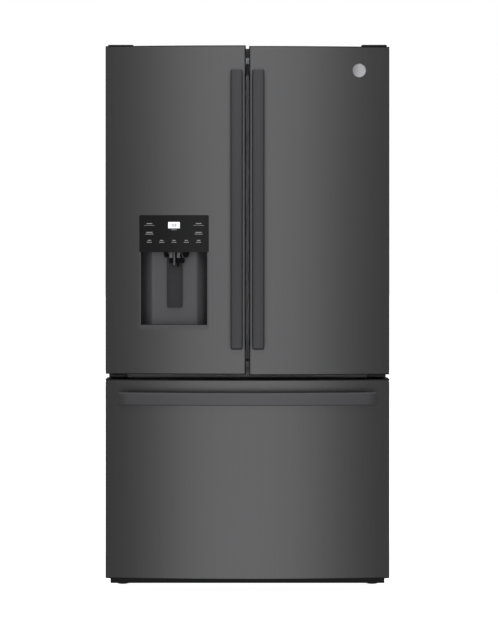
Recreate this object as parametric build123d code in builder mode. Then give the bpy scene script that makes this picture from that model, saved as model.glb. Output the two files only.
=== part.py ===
from build123d import *
from math import sqrt
import os

# French door refrigerator: two fresh-food doors over a freezer drawer.
# Frame: X to the right, Y towards the back, Z up, origin at the centre of the outline on the floor.

os.makedirs("parts", exist_ok=True)

# ---------------------------------------------------------------- driving dimensions, millimetres
face_width = 908.0  # across both doors
face_bulge = 26.0  # how far the doors' front stands out at the middle
door_gap = 10.0  # between the two doors
door_back = -291.5  # back plane of the doors and the drawer
door_front = -406.5  # front of the doors at the middle
door_corner = 5.0  # rounded vertical edges of the doors
skin_t = 1.0  # sheet steel
cap_t = 3.0  # edge of the end caps that shows
cap_plug = 12.0  # part of the end caps inside the skin

case_front = -279.5
case_rear = 466.5
side_inset = 4.0  # case sides stand this far inside the doors' outer edges
case_half = face_width / 2 - side_inset
case_top = 1753.0

left_door_z = (703.0, case_top - 2.8)
right_door_z = (700.8, case_top - 5.0)
drawer_z = (50.0, 685.5)
side_foot = 30.0  # underside of the case sides
floor_z = 70.0  # underside of the insulated bottom
flange = 26.0  # folded front edge of the case
liner_t = 2.0
lip = 20.0  # front lip of the liners

side_wall = 46.0  # steel, foam and liner
rear_wall = 62.5
top_wall = 50.0
room_half = case_half - side_wall  # half width inside both compartments
room_rear = case_rear - rear_wall
fresh_z = (738.0, case_top - top_wall)
freezer_z = (110.0, 655.0)
step_y = 200.0  # rear of the freezer's lower part
step_z = 370.0
machine_y = 250.0  # front of the machine compartment
machine_z = 330.0

gap = 0.3  # running clearance between pieces that move past each other
hinge_x = case_half - 16.0
hinge_y = -312.0
hinge_pin_r = 5.0
pin_clear = 0.05

half_gap = door_gap / 2
dike_hinge_x = room_half - 14.0  # raised border on the doors' inside
dike_free_x = half_gap + 45.0
dike_w = 22.0
dike_y = -246.5
dike_z = (744.0, fresh_z[1] - 8.0)
gasket_w = 15.0
gasket_outer = case_half - flange + 4.0  # seals over the folded edge of the case
gasket_inner = half_gap + 1.5

mullion_pivot = (-half_gap - 31.0, -272.2)
mullion_r = 7.0  # half its thickness
mullion_end = half_gap + 5.0  # its free edge, far enough behind the right door to meet the gasket
mullion_z = (745.0, fresh_z[1] - 39.0)
guide_arm = 14.0  # pivot to guide pin

handle_w = 38.0
handle_t = 16.0
handle_out = 60.0
handle_x = half_gap + 29.2
handle_z = (785.0, case_top - 83.0)
post_h = 30.0
drawer_handle_half = face_width / 2 - 43.0
drawer_handle_z = (609.0, 649.0)

dispenser_w = 222.0
dispenser_side = 109.0  # from the left door's outer edge
dispenser_x = (dispenser_side - face_width / 2, dispenser_side - face_width / 2 + dispenser_w)
dispenser_z = (845.0, 1210.0)
panel_bottom = 1092.0
panel_t = 4.0  # control panel's thickness behind the door's curve
panel_proud = 1.5
recess_back = -322.0
panel_back = -376.0
ledge_top = 860.0
housing_wall = 5.0
chute_xy = (sum(dispenser_x) / 2, -341.0)
chute_half = 22.0  # outside half width of the square ice chute
chute_wall = 2.0
ice_z = (1290.0, fresh_z[1] - 43.0)
ice_wall = 12.0
pocket_wall = 3.0  # of the ice compartment where it is sunk into the door
ice_front = -364.0
ice_rear = -135.0
ice_door_t = 18.0

deck_z = 38.0  # floor plate of the machine compartment
fan_z = 150.0
fan_y = 360.0


# ---------------------------------------------------------------- shapes that several pieces share
def block(x, y, z, mode=Mode.ADD):
    """A box between two limits along each axis."""
    with Locations(((x[0] + x[1]) / 2, (y[0] + y[1]) / 2, (z[0] + z[1]) / 2)):
        Box(x[1] - x[0], y[1] - y[0], z[1] - z[0], mode=mode)


def rod(centre, radius, length, axis="Z", mode=Mode.ADD):
    """A cylinder about its middle point, along X, Y or Z."""
    turn = {"X": (0, 90, 0), "Y": (90, 0, 0), "Z": (0, 0, 0)}[axis]
    with Locations(centre):
        Cylinder(radius, length, rotation=turn, mode=mode)


def tray(x, y, z, wall):
    """An open box with an equal wall all round."""
    block(x, y, z)
    inner_x = (x[0] + wall, x[1] - wall)
    inner_y = (y[0] + wall, y[1] - wall)
    block(inner_x, inner_y, (z[0] + wall, z[1] + wall), mode=Mode.SUBTRACT)


def ring(x, y, z, width):
    """A rectangular ring that lies in the XZ plane."""
    block(x, y, z)
    through = (y[0] - 1, y[1] + 1)
    block((x[0] + width, x[1] - width), through, (z[0] + width, z[1] - width), mode=Mode.SUBTRACT)


face_radius = ((face_width / 2) ** 2 + face_bulge**2) / (2 * face_bulge)
face_centre = door_front + face_radius


def front_y(x, inset=0.0):
    """Y of the doors' curved front at x, moved back by inset."""
    return face_centre - sqrt((face_radius - inset) ** 2 - x**2)


def face_plan(x0, x1, z, inset=0.0, back=door_back, corner=door_corner):
    """Plan outline of a door: curved front, straight sides and a flat back."""
    left, right = x0 + inset, x1 - inset
    middle = (left + right) / 2
    with BuildSketch(Plane.XY.offset(z)) as plan:
        with BuildLine():
            ThreePointArc(
                (left, front_y(left, inset)), (middle, front_y(middle, inset)), (right, front_y(right, inset))
            )
            Polyline(
                (right, front_y(right, inset)), (right, back), (left, back), (left, front_y(left, inset))
            )
        make_face()
        if corner > inset:
            fillet(plan.vertices().sort_by(Axis.Y)[:2], corner - inset)
    return plan.sketch


def face_band(x0, x1, z, outer, inner):
    """Plan outline of a band that stands outer to inner millimetres in front of the doors' curve."""
    middle = (x0 + x1) / 2
    with BuildSketch(Plane.XY.offset(z)) as plan:
        with BuildLine():
            ThreePointArc(
                (x0, front_y(x0, -outer)), (middle, front_y(middle, -outer)), (x1, front_y(x1, -outer))
            )
            Line((x1, front_y(x1, -outer)), (x1, front_y(x1, -inner)))
            ThreePointArc(
                (x1, front_y(x1, -inner)), (middle, front_y(middle, -inner)), (x0, front_y(x0, -inner))
            )
            Line((x0, front_y(x0, -inner)), (x0, front_y(x0, -outer)))
        make_face()
    return plan.sketch


def fan_wheel(centre, axis, radius, hub_r, hub_len, bore_r, count=5, pitch=28):
    """A fan: a bored hub with pitched blades, turned so that its shaft lies along the axis."""
    with BuildPart() as wheel:
        Cylinder(hub_r, hub_len)
        with PolarLocations(0, count):
            with Locations((radius / 2 + hub_r / 3, 0, 0)):
                Box(radius - hub_r / 1.5, radius * 0.55, 1.6, rotation=(pitch, 0, 0))
        Cylinder(radius, hub_len * 4, mode=Mode.INTERSECT)
        Cylinder(bore_r, hub_len * 2, mode=Mode.SUBTRACT)
    shaft = {"X": (0, 90, 0), "Y": (90, 0, 0)}[axis]
    return wheel.part.moved(Location(centre, shaft))


def save(piece, label):
    """Name a finished piece and write its file."""
    piece.label = label
    export_step(piece, f"parts/{label}.step")


# ---------------------------------------------------------------- case
inner_half = case_half - skin_t
lip_half = case_half - flange

with BuildPart() as cabinet_shell:
    block((-case_half, case_half), (case_front, case_rear), (side_foot, case_top))
    block(
        (-inner_half, inner_half),
        (case_front + liner_t, case_rear + 1),
        (side_foot - 1, case_top - skin_t),
        mode=Mode.SUBTRACT,
    )
    front = (case_front - 1, case_front + liner_t)
    block((-lip_half, lip_half), front, (freezer_z[0] - lip, fresh_z[1] + lip), mode=Mode.SUBTRACT)
    block((-lip_half, lip_half), front, (side_foot - 1, floor_z), mode=Mode.SUBTRACT)
save(cabinet_shell.part, "cabinet_shell")

with BuildPart() as rear_panel:
    block((-inner_half, inner_half), (case_rear - skin_t, case_rear), (machine_z, case_top - skin_t))
save(rear_panel.part, "rear_panel")

foam_front = case_front + liner_t
sheet_t = 2.0

with BuildPart() as base_frame:
    with BuildSketch(Plane.YZ) as bent_sheet:
        with BuildLine():
            Polyline(
                (foam_front, floor_z - sheet_t),
                (machine_y + sheet_t, floor_z - sheet_t),
                (machine_y + sheet_t, machine_z - sheet_t),
                (case_rear - sheet_t, machine_z - sheet_t),
                (case_rear - sheet_t, machine_z),
                (machine_y, machine_z),
                (machine_y, floor_z),
                (foam_front, floor_z),
                close=True,
            )
        make_face()
    extrude(amount=inner_half, both=True)
    for side in (-1, 1):
        plate = sorted((side * (inner_half - sheet_t), side * inner_half))
        block(plate, (foam_front, machine_y), (side_foot, floor_z))
        block(plate, (machine_y, case_rear - sheet_t), (side_foot, machine_z))
    for beam_y in (-225.0, 150.0):
        block((-inner_half, inner_half), (beam_y, beam_y + 50), (floor_z - 20, floor_z - sheet_t))
    block((-inner_half, inner_half), (machine_y, case_rear - sheet_t), (deck_z, deck_z + sheet_t))
    leg_x = case_half - 40.0
    leg_y = -200.0
    leg_r = 5.0
    for side in (-1, 1):
        rod((side * leg_x, leg_y, floor_z - 11), leg_r, 18.01, mode=Mode.SUBTRACT)
        for ear in (-16.0, 12.0):
            ear_x = (side * leg_x + ear, side * leg_x + ear + 4)
            block(ear_x, (400, 440), (8, deck_z))
    axle_r = 4.0
    for side in (-1, 1):
        rod((side * leg_x, 420, 17), axle_r + pin_clear, 60, "X", mode=Mode.SUBTRACT)
save(base_frame.part, "base_frame")

roller_r = 17.0
for side, label in ((-1, "rear_left_roller"), (1, "rear_right_roller")):
    with BuildPart() as roller:
        rod((side * leg_x, 420, roller_r), roller_r, 22, "X")
        rod((side * leg_x, 420, roller_r), axle_r, 36, "X")
        fillet(roller.edges().filter_by(GeomType.CIRCLE).filter_by(lambda e: e.radius > 10), 2)
    save(roller.part, label)

with BuildSketch(Plane.XY.offset(14)) as leg_nut:
    with Locations((-leg_x, leg_y), (leg_x, leg_y)):
        RegularPolygon(9, 6)

with BuildPart() as levelling_legs:
    for side in (-1, 1):
        rod((side * leg_x, leg_y, 33), leg_r, 66)
        with Locations((side * leg_x, leg_y, 4)):
            Cone(19, 16, 8)
    extrude(leg_nut.sketch, amount=6)
save(levelling_legs.part, "levelling_legs")

px, py = mullion_pivot
outer = room_half + liner_t
guide_z = (fresh_z[1] - 24, fresh_z[1])
with BuildSketch(Plane.XY.offset(guide_z[0] - 1)) as guide_slot:
    with Locations((px, py)):
        Circle(guide_arm + 4)
        Circle(guide_arm - 4, mode=Mode.SUBTRACT)

with BuildPart() as fresh_food_liner:
    block((-outer, outer), (case_front, room_rear + liner_t), (fresh_z[0] - liner_t, fresh_z[1] + liner_t))
    block(
        (-lip_half, lip_half), (case_front, foam_front), (fresh_z[0] - lip, fresh_z[1] + lip)
    )
    block((-room_half, room_half), (case_front - 1, room_rear), fresh_z, mode=Mode.SUBTRACT)
    for x in (44 - room_half, -40.0, 40.0, room_half - 44):
        block((x - 6, x + 6), (-150, 350), (fresh_z[0], fresh_z[0] + 10))
    # block with the curved slot that guides the mullion's pin
    block((px - 14, px + 30), (py + 4, py + 30), guide_z)
    extrude(guide_slot.sketch, amount=guide_z[1] - guide_z[0] + 1, mode=Mode.SUBTRACT)
save(fresh_food_liner.part, "fresh_food_liner")

with BuildPart() as freezer_liner:
    block((-outer, outer), (case_front, step_y + liner_t), (freezer_z[0] - liner_t, step_z))
    block((-outer, outer), (case_front, room_rear + liner_t), (step_z - liner_t, freezer_z[1] + liner_t))
    block((-lip_half, lip_half), (case_front, foam_front), (freezer_z[0] - lip, freezer_z[1] + lip))
    block((-room_half, room_half), (case_front - 1, step_y), (freezer_z[0], step_z), mode=Mode.SUBTRACT)
    block((-room_half, room_half), (case_front - 1, room_rear), (step_z, freezer_z[1]), mode=Mode.SUBTRACT)
save(freezer_liner.part, "freezer_liner")

rail_z = (freezer_z[1] + lip, fresh_z[0] - lip)
rail_depth = 12.0
with BuildPart() as centre_rail:
    block((-lip_half, lip_half), (case_front, case_front + rail_depth), rail_z)
save(centre_rail.part, "centre_rail")

with BuildPart() as cabinet_foam:
    block((-inner_half, inner_half), (foam_front, case_rear - skin_t), (floor_z, case_top - skin_t))
    wide = (-inner_half - 1, inner_half + 1)
    block(wide, (machine_y, case_rear), (floor_z - 1, machine_z), mode=Mode.SUBTRACT)
    fresh_outer = (fresh_z[0] - liner_t, fresh_z[1] + liner_t)
    block((-outer, outer), (foam_front - 1, room_rear + liner_t), fresh_outer, mode=Mode.SUBTRACT)
    low = (freezer_z[0] - liner_t, step_z)
    block((-outer, outer), (foam_front - 1, step_y + liner_t), low, mode=Mode.SUBTRACT)
    high = (step_z - liner_t, freezer_z[1] + liner_t)
    block((-outer, outer), (foam_front - 1, room_rear + liner_t), high, mode=Mode.SUBTRACT)
    block((-lip_half, lip_half), (foam_front - 1, case_front + rail_depth), rail_z, mode=Mode.SUBTRACT)
save(cabinet_foam.part, "cabinet_foam")

with BuildPart() as base_grille:
    block((-case_half + 4, case_half - 4), (case_front + 4, case_front + 10), (14, side_foot + 34))
    with Locations((0, case_front + 7, 38)):
        with GridLocations(60, 9, 13, 3):
            Box(46, 20, 4, mode=Mode.SUBTRACT)
    for side in (-1, 1):
        stay_x = sorted((side * (case_half - 70), side * (case_half - 58)))
        block(stay_x, (case_front + 10, -225), (floor_z - 19, floor_z - 9))
    grille_cut = (-inner_half + sheet_t - gap, inner_half - sheet_t + gap)
    block((-case_half, grille_cut[0]), (foam_front, case_front + 20), (side_foot, 80), mode=Mode.SUBTRACT)
    block((grille_cut[1], case_half), (foam_front, case_front + 20), (side_foot, 80), mode=Mode.SUBTRACT)
save(base_grille.part, "base_grille")

# ---------------------------------------------------------------- hinges of the two doors
bracket_t = 4.0
centre_bracket_z = (690.0, 695.0)
with BuildPart() as door_hinges:
    for side, door_z in ((-1, left_door_z), (1, right_door_z)):
        x = sorted((side * (hinge_x - 60), side * (hinge_x + 14)))
        block(x, (case_front + 4, case_front + 110), (case_top, case_top + bracket_t))
        x = sorted((side * (hinge_x - 16), side * (hinge_x + 14)))
        block(x, (hinge_y - 16, case_front + 4), (case_top, case_top + bracket_t))
        pin_end = door_z[1] - cap_t - cap_plug + 1
        rod(
            (side * hinge_x, hinge_y, (pin_end + case_top + 1) / 2), hinge_pin_r, case_top + 1 - pin_end
        )
    # brackets between the doors and the drawer
    for side, door_z in ((-1, left_door_z), (1, right_door_z)):
        x = sorted((side * (hinge_x - 44), side * (hinge_x + 12)))
        block(x, (hinge_y - 14, case_front), centre_bracket_z)
        plate = sorted((side * (hinge_x - 44), side * (hinge_x - 12)))
        block(plate, (case_front - 3, case_front), (rail_z[0] + 3, centre_bracket_z[0]))
        rod((side * hinge_x, hinge_y, (centre_bracket_z[1] + door_z[0] - gap) / 2), 9,
            door_z[0] - gap - centre_bracket_z[1])
        pin_top = door_z[0] + cap_t + cap_plug - 1
        rod(
            (side * hinge_x, hinge_y, (centre_bracket_z[0] + 1 + pin_top) / 2),
            hinge_pin_r,
            pin_top - centre_bracket_z[0] - 1,
        )
save(door_hinges.part, "door_hinges")

cover_top = case_top + 7
with BuildPart() as hinge_covers:
    for side in (-1, 1):
        x = sorted((side * (hinge_x - 66), side * (hinge_x + 15.5)))
        block(x, (hinge_y - 22, case_front + 116), (case_top, cover_top))
    fillet(hinge_covers.edges().filter_by(Axis.Z), 6)
    fillet(hinge_covers.faces().sort_by(Axis.Z)[-2:].edges(), 2)
    for side in (-1, 1):
        x = sorted((side * (hinge_x - 61), side * (hinge_x + 14)))
        block(x, (hinge_y - 17, case_front + 111), (case_top - 1, case_top + bracket_t), mode=Mode.SUBTRACT)
save(hinge_covers.part, "hinge_covers")


# ---------------------------------------------------------------- the two doors
body_z = cap_t + cap_plug  # end caps to foam

door_plans = (
    ("left", -1, -face_width / 2, -half_gap, left_door_z),
    ("right", 1, half_gap, face_width / 2, right_door_z),
)
bin_wall = 3.0
bin_x = (dike_free_x + dike_w + gap, dike_hinge_x - dike_w - gap)
shallow_y = -236.5
deep_y = -166.0
shallow_bins = ((770.0, 870.0), (940.0, 1040.0))
deep_bins = {"left": ((1130.0, 1240.0),), "right": ((1130.0, 1240.0), (1330.0, 1440.0), (1530.0, 1640.0))}

for name, side, x0, x1, door_z in door_plans:
    skin_z = (door_z[0] + cap_t, door_z[1] - cap_t)
    with BuildPart() as door_skin:
        extrude(face_plan(x0, x1, skin_z[0]), amount=skin_z[1] - skin_z[0])
        inside = face_plan(x0, x1, skin_z[0] - 1, inset=skin_t, back=door_back + 1)
        extrude(inside, amount=skin_z[1] - skin_z[0] + 2, mode=Mode.SUBTRACT)
        if name == "left":
            block(dispenser_x, (door_front - 10, panel_back), dispenser_z, mode=Mode.SUBTRACT)
    save(door_skin.part, f"{name}_door_skin")

    with BuildPart() as door_caps:
        for edge_z, plug_z in (
            (door_z[0], door_z[0] + cap_t),
            (door_z[1] - cap_t, door_z[1] - cap_t - cap_plug),
        ):
            extrude(face_plan(x0, x1, edge_z), amount=cap_t)
            extrude(face_plan(x0, x1, plug_z, inset=skin_t), amount=cap_plug)
        middle_z = (door_z[0] + door_z[1]) / 2
        rod(
            (side * hinge_x, hinge_y, middle_z),
            hinge_pin_r + pin_clear,
            door_z[1] - door_z[0] + 10,
            mode=Mode.SUBTRACT,
        )
    save(door_caps.part, f"{name}_door_caps")

    with BuildPart() as door_liner:
        core_z = (door_z[0] + body_z, door_z[1] - body_z)
        extrude(face_plan(x0, x1, core_z[0], inset=skin_t), amount=core_z[1] - core_z[0])
        dike_x = sorted((side * dike_hinge_x, side * dike_free_x))
        with BuildSketch(Plane.XZ.offset(-door_back)) as dike_plan:
            with Locations(((dike_x[0] + dike_x[1]) / 2, (dike_z[0] + dike_z[1]) / 2)):
                RectangleRounded(dike_x[1] - dike_x[0], dike_z[1] - dike_z[0], 6)
                Rectangle(
                    dike_x[1] - dike_x[0] - 2 * dike_w, dike_z[1] - dike_z[0] - 2 * dike_w, mode=Mode.SUBTRACT
                )
        extrude(dike_plan.sketch, amount=-(dike_y - door_back))
        if name == "left":
            # ears that carry the mullion's pins
            for ear in (mullion_z[0] - 4.3, mullion_z[1] + 0.3):
                block((-dike_free_x - 12, px + 7), (py - mullion_r + 0.2, py + 10), (ear, ear + 4))
            ear_span = mullion_z[1] - mullion_z[0] + 40
            rod((px, py, sum(mullion_z) / 2), 2.5 + pin_clear, ear_span, mode=Mode.SUBTRACT)
            # room for the dispenser, the chute and the ice compartment
            block(dispenser_x, (door_front - 10, panel_back), dispenser_z, mode=Mode.SUBTRACT)
            recess_room = (dispenser_z[0], panel_bottom + 6)
            block(dispenser_x, (door_front - 10, recess_back + 6), recess_room, mode=Mode.SUBTRACT)
            ice_x = (-dike_hinge_x, -dike_free_x - dike_w)
            ice_room_x = (ice_x[0] + ice_wall, ice_x[1] - ice_wall)
            ice_room_z = (ice_z[0] + ice_wall, ice_z[1] - ice_wall)
            pocket_x = (ice_room_x[0] - pocket_wall, ice_room_x[1] + pocket_wall)
            pocket_y = (ice_front - pocket_wall, door_back)
            pocket_z = (ice_room_z[0] - pocket_wall, ice_room_z[1] + pocket_wall)
            block(ice_x, (door_back, ice_rear), ice_z, mode=Mode.SUBTRACT)
            block(pocket_x, pocket_y, pocket_z, mode=Mode.SUBTRACT)
            chute_x = (chute_xy[0] - chute_half, chute_xy[0] + chute_half)
            chute_y = (chute_xy[1] - chute_half, chute_xy[1] + chute_half)
            block(chute_x, chute_y, (panel_bottom, ice_room_z[0]), mode=Mode.SUBTRACT)
    save(door_liner.part, f"{name}_door_liner")

    with BuildPart() as door_gasket:
        gasket_x = sorted((side * gasket_outer, side * gasket_inner))
        ring(gasket_x, (door_back, case_front), (door_z[0] + 17, door_z[1] - 27), gasket_w)
    save(door_gasket.part, f"{name}_door_gasket")

    with BuildPart() as door_handle:
        bar_x = (side * handle_x - handle_w / 2, side * handle_x + handle_w / 2)
        bar_front = front_y(handle_x) - handle_out
        block(bar_x, (bar_front, bar_front + handle_t), handle_z)
        fillet(door_handle.edges().filter_by(Axis.Z), 3)
        for post_z in (handle_z[0], handle_z[1] - post_h):
            post_x = (bar_x[0] + 2, bar_x[1] - 2)
            block(post_x, (bar_front + handle_t - 4, door_front + 10), (post_z, post_z + post_h))
        door_body = face_plan(x0, x1, handle_z[0] - 1)
        extrude(door_body, amount=handle_z[1] - handle_z[0] + 2, mode=Mode.SUBTRACT)
    save(door_handle.part, f"{name}_door_handle")

    with BuildPart() as door_bins:
        across = sorted((side * bin_x[0], side * bin_x[1]))
        for bin_z in shallow_bins:
            tray(across, (door_back, shallow_y), bin_z, bin_wall)
        for bin_z in deep_bins[name]:
            tray(across, (door_back, deep_y), bin_z, bin_wall)
    save(door_bins.part, f"{name}_door_bins")

badge_r = 22.0
badge_at = (face_width / 2 - 97, case_top - 82)
with BuildPart() as round_badge:
    badge_y = front_y(badge_at[0])
    rod((badge_at[0], badge_y - 1, badge_at[1]), badge_r, 9, "Y")
    extrude(face_plan(half_gap, face_width / 2, badge_at[1] - 71), amount=140, mode=Mode.SUBTRACT)
save(round_badge.part, "round_badge")

# ---------------------------------------------------------------- mullion on the left door
with BuildPart() as mullion:
    with BuildSketch(Plane.XY.offset(mullion_z[0])) as mullion_plan:
        with Locations((px, py)):
            Circle(mullion_r)
        with Locations(((px + mullion_end) / 2, py)):
            Rectangle(mullion_end - px, 2 * mullion_r)
    extrude(mullion_plan.sketch, amount=mullion_z[1] - mullion_z[0])
    pin_len = mullion_z[1] - mullion_z[0] + 8
    rod((px, py, sum(mullion_z) / 2), 2.5, pin_len)
    pin_top = fresh_z[1] - 2
    rod((px + guide_arm, py, (mullion_z[1] - 1 + pin_top) / 2), 2, pin_top - mullion_z[1] + 1)
save(mullion.part, "mullion")

# ---------------------------------------------------------------- ice and water dispenser
with BuildPart() as dispenser_housing:
    extrude(
        face_plan(dispenser_x[0], dispenser_x[1], dispenser_z[0], inset=0, back=recess_back + 6, corner=0),
        amount=dispenser_z[1] - dispenser_z[0],
    )
    above = (panel_bottom + 6, dispenser_z[1] + 1)
    wide = (dispenser_x[0] - 1, dispenser_x[1] + 1)
    block(wide, (panel_back, recess_back + 7), above, mode=Mode.SUBTRACT)
    # seat of the control panel
    seat_plan = face_band(dispenser_x[0] - 1, dispenser_x[1] + 1, panel_bottom, 3, -panel_t)
    extrude(seat_plan, amount=dispenser_z[1] - panel_bottom + 1, mode=Mode.SUBTRACT)
    hollow = (dispenser_x[0] + housing_wall, dispenser_x[1] - housing_wall)
    with BuildSketch(Plane.XY.offset(ledge_top)) as recess_plan:
        with Locations(((hollow[0] + hollow[1]) / 2, (door_front - 10 + recess_back) / 2)):
            Rectangle(hollow[1] - hollow[0], recess_back - door_front + 10)
        fillet(recess_plan.vertices().sort_by(Axis.Y)[-2:], 38)
    extrude(recess_plan.sketch, amount=panel_bottom - ledge_top, mode=Mode.SUBTRACT)
    block(chute_x, chute_y, (panel_bottom - 20, panel_bottom + 20), mode=Mode.SUBTRACT)
    # ears that carry the paddle's pins
    paddle_half = 24.0
    paddle_pivot = (-352.0, 1077.0)
    for side in (-1, 1):
        ear = sorted((chute_xy[0] + side * (paddle_half + gap), chute_xy[0] + side * (paddle_half + 4.5)))
        block(ear, (paddle_pivot[0] - 6, paddle_pivot[0] + 6), (paddle_pivot[1] - 6, panel_bottom))
    rod((chute_xy[0], *paddle_pivot), 2.5 + pin_clear, 2 * paddle_half + 20, "X", mode=Mode.SUBTRACT)
save(dispenser_housing.part, "dispenser_housing")

with BuildPart() as control_panel:
    panel_plan = face_band(*dispenser_x, panel_bottom, panel_proud, -panel_t)
    extrude(panel_plan, amount=dispenser_z[1] - panel_bottom)
    fillet(control_panel.edges().filter_by(Axis.Y).group_by(Axis.Z)[-1], 6)
save(control_panel.part, "control_panel")

with BuildPart() as ice_chute:
    tube_z = (panel_bottom - 6, ice_z[0] + ice_wall)
    block(chute_x, chute_y, tube_z)
    duct_x = (chute_x[0] + chute_wall, chute_x[1] - chute_wall)
    duct_y = (chute_y[0] + chute_wall, chute_y[1] - chute_wall)
    block(duct_x, duct_y, (tube_z[0] - 1, tube_z[1] + 1), mode=Mode.SUBTRACT)
save(ice_chute.part, "ice_chute")

with BuildPart() as dispenser_paddle:
    rod((chute_xy[0], *paddle_pivot), 4.5, 2 * paddle_half, "X")
    rod((chute_xy[0], *paddle_pivot), 2.5, 2 * paddle_half + 8, "X")
    block(
        (chute_xy[0] - paddle_half, chute_xy[0] + paddle_half),
        (paddle_pivot[0] - 3, paddle_pivot[0] + 2),
        (914, paddle_pivot[1]),
    )
    fillet(dispenser_paddle.edges().filter_by(Axis.Y).group_by(Axis.Z)[0], 10)
save(dispenser_paddle.part, "dispenser_paddle")

with BuildPart() as ice_compartment:
    block(ice_x, (door_back, ice_rear), ice_z)
    block(pocket_x, pocket_y, pocket_z)
    block(ice_room_x, (ice_front, ice_rear + 1), ice_room_z, mode=Mode.SUBTRACT)
    block(chute_x, chute_y, (pocket_z[0] - 1, ice_room_z[0] + 1), mode=Mode.SUBTRACT)
    # ears for the compartment's door
    ice_pivot = (ice_x[0] + 10, ice_rear + ice_door_t / 2 + 1)
    for ear_z in (ice_z[0], ice_z[1] - 6):
        block((ice_x[0], ice_x[0] + 20), (ice_rear - 2, ice_pivot[1] + 9), (ear_z, ear_z + 6))
    rod((*ice_pivot, ice_z[0] + 3), 3 + pin_clear, 8, mode=Mode.SUBTRACT)
    rod((*ice_pivot, ice_z[1] - 3), 3 + pin_clear, 8, mode=Mode.SUBTRACT)
save(ice_compartment.part, "ice_compartment")

with BuildPart() as ice_box_door:
    panel_x = (ice_x[0] + 2, ice_x[1])
    panel_y = (ice_rear + 1, ice_rear + 1 + ice_door_t)
    inner_z = (ice_z[0] + 6 + gap, ice_z[1] - 6 - gap)
    block((ice_pivot[0], panel_x[1]), panel_y, inner_z)
    rod((*ice_pivot, sum(inner_z) / 2), ice_door_t / 2, inner_z[1] - inner_z[0])
    rod((*ice_pivot, sum(inner_z) / 2), 3, inner_z[1] - inner_z[0] + 8)
    handle_y = (panel_y[1], panel_y[1] + 8)
    ice_middle = sum(ice_z) / 2
    block((panel_x[1] - 24, panel_x[1] - 12), handle_y, (ice_middle - 45, ice_middle + 45))
save(ice_box_door.part, "ice_box_door")

with BuildPart() as ice_bin:
    bin_y = (ice_front + 36, ice_rear - 8)
    maker_bottom = ice_room_z[1] - 88
    bin_ice_z = (ice_room_z[0], maker_bottom - 40)
    tray((ice_room_x[0] + 1, ice_room_x[1] - 1), bin_y, bin_ice_z, 3)
save(ice_bin.part, "ice_bin")

with BuildPart() as ice_maker:
    maker_x = (ice_room_x[0] + 20, ice_room_x[1] - 20)
    maker_y = (ice_front + 60, ice_rear - 20)
    block(maker_x, maker_y, (maker_bottom, ice_room_z[1]))
    with Locations((sum(maker_x) / 2, sum(maker_y) / 2, ice_room_z[1] - 23)):
        with GridLocations(34, 60, 7, 2):
            Box(26, 44, 60, mode=Mode.SUBTRACT)
    block(maker_x, maker_y, (ice_room_z[1] - 6, ice_room_z[1]))
save(ice_maker.part, "ice_maker")

# ---------------------------------------------------------------- freezer drawer
drawer_x = (-face_width / 2, face_width / 2)
with BuildPart() as drawer_skin:
    skin_z = (drawer_z[0] + cap_t, drawer_z[1] - cap_t)
    extrude(face_plan(*drawer_x, skin_z[0]), amount=skin_z[1] - skin_z[0])
    inside = face_plan(*drawer_x, skin_z[0] - 1, inset=skin_t, back=door_back + 1)
    extrude(inside, amount=skin_z[1] - skin_z[0] + 2, mode=Mode.SUBTRACT)
save(drawer_skin.part, "drawer_skin")

with BuildPart() as drawer_caps:
    for edge_z, plug_z in (
        (drawer_z[0], drawer_z[0] + cap_t),
        (drawer_z[1] - cap_t, drawer_z[1] - cap_t - cap_plug),
    ):
        extrude(face_plan(*drawer_x, edge_z), amount=cap_t)
        extrude(face_plan(*drawer_x, plug_z, inset=skin_t), amount=cap_plug)
save(drawer_caps.part, "drawer_caps")

with BuildPart() as drawer_liner:
    core_z = (drawer_z[0] + body_z, drawer_z[1] - body_z)
    extrude(face_plan(*drawer_x, core_z[0], inset=skin_t), amount=core_z[1] - core_z[0])
    dike_span = (2 - room_half, room_half - 2)
    ring(dike_span, (door_back - 1, door_back + 25), (drawer_z[0] + 70, drawer_z[1] - 40), 18)
save(drawer_liner.part, "drawer_liner")

with BuildPart() as drawer_gasket:
    gasket_span = (-gasket_outer, gasket_outer)
    ring(gasket_span, (door_back, case_front), (drawer_z[0] + 24, drawer_z[1] - 12), gasket_w)
save(drawer_gasket.part, "drawer_gasket")

with BuildPart() as drawer_handle:
    x0, x1 = -drawer_handle_half, drawer_handle_half
    bar_h = drawer_handle_z[1] - drawer_handle_z[0]
    extrude(face_band(x0, x1, drawer_handle_z[0], handle_out, handle_out - handle_t), amount=bar_h)
    post_w = 34.0
    for a, b in ((x0, x0 + post_w), (x1 - post_w, x1)):
        extrude(face_band(a, b, drawer_handle_z[0] + 2, handle_out - handle_t, 0), amount=bar_h - 4)
save(drawer_handle.part, "drawer_handle")

# telescopic slides: a channel on the case, a middle member, and the tongue of the drawer's frame
slide_z = (394.0, 436.0)
slide_y = (-250.0, 190.0)
channel_x = (room_half - 16, room_half)
tongue_x = channel_x[0] + 5
with BuildPart() as drawer_rails:
    for side in (-1, 1):
        block(sorted((side * channel_x[0], side * channel_x[1])), slide_y, slide_z)
        groove = sorted((side * (channel_x[0] - 1), side * (channel_x[1] - 4)))
        block(groove, (slide_y[0] - 1, slide_y[1] + 1), (slide_z[0] + 6, slide_z[1] - 6), mode=Mode.SUBTRACT)
save(drawer_rails.part, "drawer_rails")

with BuildPart() as slide_members:
    for side in (-1, 1):
        member = sorted((side * (channel_x[0] - 7), side * (channel_x[1] - 4 - gap)))
        block(member, slide_y, (slide_z[0] + 6 + gap, slide_z[1] - 6 - gap))
        groove = sorted((side * (channel_x[0] - 8), side * tongue_x))
        groove_z = (slide_z[0] + 12, slide_z[1] - 12)
        block(groove, (slide_y[0] - 1, slide_y[1] + 1), groove_z, mode=Mode.SUBTRACT)
save(slide_members.part, "slide_members")

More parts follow.
